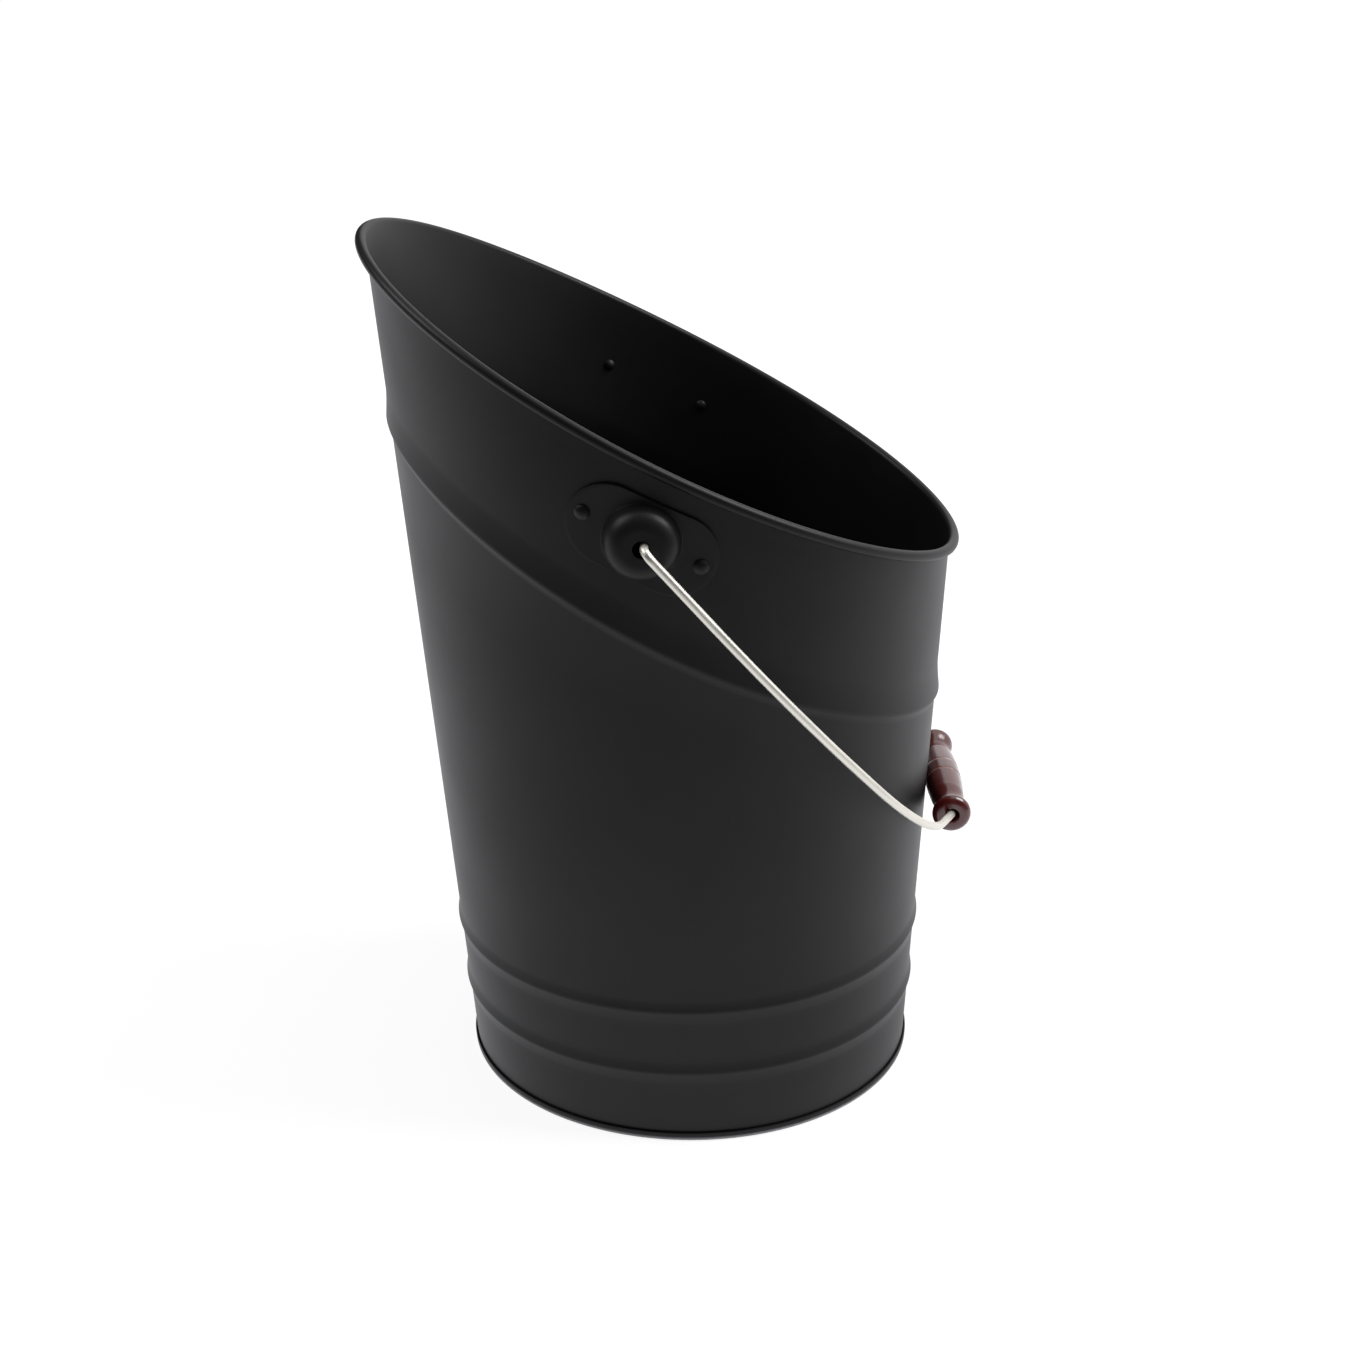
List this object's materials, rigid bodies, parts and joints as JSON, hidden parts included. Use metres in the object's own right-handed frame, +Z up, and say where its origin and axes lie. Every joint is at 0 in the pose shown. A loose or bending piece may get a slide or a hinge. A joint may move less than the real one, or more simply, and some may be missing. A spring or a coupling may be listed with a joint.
{
  "type": "pellet bucket",
  "caption": "Sheet-steel pellet bucket with a round foot, pressed beads, a slanted mouth with a rolled edge, riveted ears, a swinging wire bail and a turned wooden grip.",
  "frame": {"origin": "middle of the whole object's underside, on the floor; the foot's centre is 7.94 mm towards +X from it", "axes": "+Z up, +X towards the low pouring side, +Y towards the back ear; the bail swings about a line along Y"},
  "size_m": [0.2973, 0.3248, 0.4301],
  "materials": {
    "black_coat": "black satin powder coat",
    "bright_wire": "bright drawn wire, zinc plated",
    "red_lacquer": "turned hardwood, dark red gloss lacquer"
  },
  "bodies": {
    "bucket": {"bucket_wall": "black_coat", "rim_wire": "bright_wire", "base_plate": "black_coat", "ear_front": "black_coat", "ear_back": "black_coat", "rivet_front_high": "black_coat", "rivet_front_low": "black_coat", "rivet_back_high": "black_coat", "rivet_back_low": "black_coat"},
    "bail": {"bail_wire": "bright_wire"},
    "grip": {"grip": "red_lacquer"}
  },
  "joints": [
    {"name": "bail_swing", "type": "hinge", "parent": "bucket", "child": "bail", "pos_m": [-0.01081, 0, 0.32018], "axis": [0, -1, 0], "range_deg": [0, 289]},
    {"name": "grip_spin", "type": "hinge", "parent": "bail", "child": "grip", "pos_m": [0.13914, 0, 0.1446], "axis": [0, 1, 0], "continuous": true}
  ]
}
